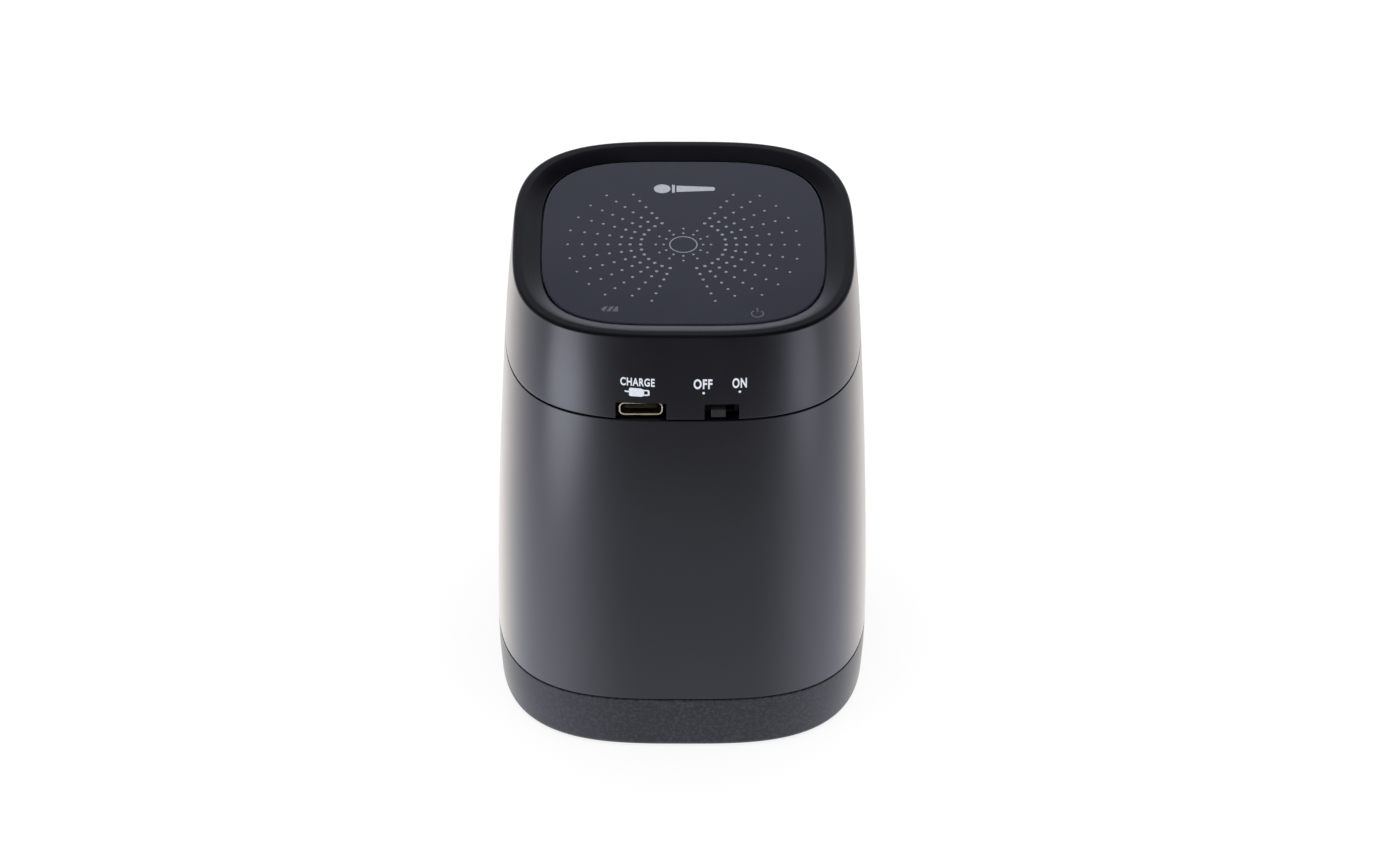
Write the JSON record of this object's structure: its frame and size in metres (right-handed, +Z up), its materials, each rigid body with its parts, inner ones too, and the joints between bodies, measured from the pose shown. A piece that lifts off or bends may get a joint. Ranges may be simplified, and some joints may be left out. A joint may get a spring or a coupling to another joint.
{
  "type": "uv microphone sanitizer",
  "caption": "Square-rounded upright cap that fits over a handheld microphone's head, with a glossy touch panel on top, a charge inlet, a slide switch and a rubber boot.",
  "frame": {"origin": "middle of the flat underside of the rubber boot", "axes": "+Z up towards the touch panel; the front wall with the charge inlet and the slide switch faces -Y; +X is to the right seen from the front"},
  "size_m": [0.079, 0.079, 0.1048],
  "materials": {
    "satin_shell": "satin moulded, near black",
    "gloss_panel": "polished, dark grey",
    "boot_rubber": "matte",
    "soft_silicone": "soft matte",
    "inner_plastic": "moulded, black",
    "diffuser": "milky",
    "tape_foam": "foam tape",
    "board": "lacquered circuit board",
    "lamp_board": "white lacquered circuit board",
    "lamp": "lamp package with a clear lens",
    "quartz": "clear quartz",
    "bright_liner": "polished",
    "stamped_steel": "stamped and plated",
    "screw_steel": "plain",
    "cell_foil": "foil pouch",
    "wire_jacket": "insulated wire"
  },
  "bodies": {
    "housing": {"rubber_boot": "boot_rubber", "body_sleeve": "satin_shell", "head_cover": "satin_shell", "touch_panel": "gloss_panel", "panel_tape": "tape_foam", "light_guide": "diffuser", "touch_board": "board", "usb_shell": "stamped_steel", "usb_tongue": "inner_plastic", "switch_case": "inner_plastic", "main_board": "board", "buzzer": "inner_plastic", "battery_cell": "cell_foil", "battery_tray": "inner_plastic", "battery_lead": "wire_jacket", "chassis": "inner_plastic", "chamber_reflector": "bright_liner", "chamber_frame": "inner_plastic", "led_harness": "wire_jacket", "ceiling_window": "quartz", "ceiling_led_board": "lamp_board", "base_ring": "inner_plastic", "mouth_seal": "soft_silicone", "ceiling_led_1": "lamp", "ceiling_led_2": "lamp", "ceiling_led_3": "lamp", "side_led_board_1": "lamp_board", "side_led_1": "lamp", "side_window_1": "quartz", "chassis_screw_1": "screw_steel", "base_screw_1": "screw_steel", "board_screw_1": "screw_steel", "head_screw_1": "screw_steel", "side_led_board_2": "lamp_board", "side_led_2": "lamp", "side_window_2": "quartz", "chassis_screw_2": "screw_steel", "base_screw_2": "screw_steel", "board_screw_2": "screw_steel", "head_screw_2": "screw_steel", "side_led_board_3": "lamp_board", "side_led_3": "lamp", "side_window_3": "quartz", "chassis_screw_3": "screw_steel", "base_screw_3": "screw_steel", "board_screw_3": "screw_steel", "head_screw_3": "screw_steel", "side_led_board_4": "lamp_board", "side_led_4": "lamp", "side_window_4": "quartz", "chassis_screw_4": "screw_steel", "base_screw_4": "screw_steel", "board_screw_4": "screw_steel", "head_screw_4": "screw_steel"},
    "switch_slider": {"switch_knob": "satin_shell"}
  },
  "joints": [
    {"name": "power_switch_slide", "type": "slide", "parent": "housing", "child": "switch_slider", "axis": [1, 0, 0], "range_m": [0, 0.002]}
  ]
}
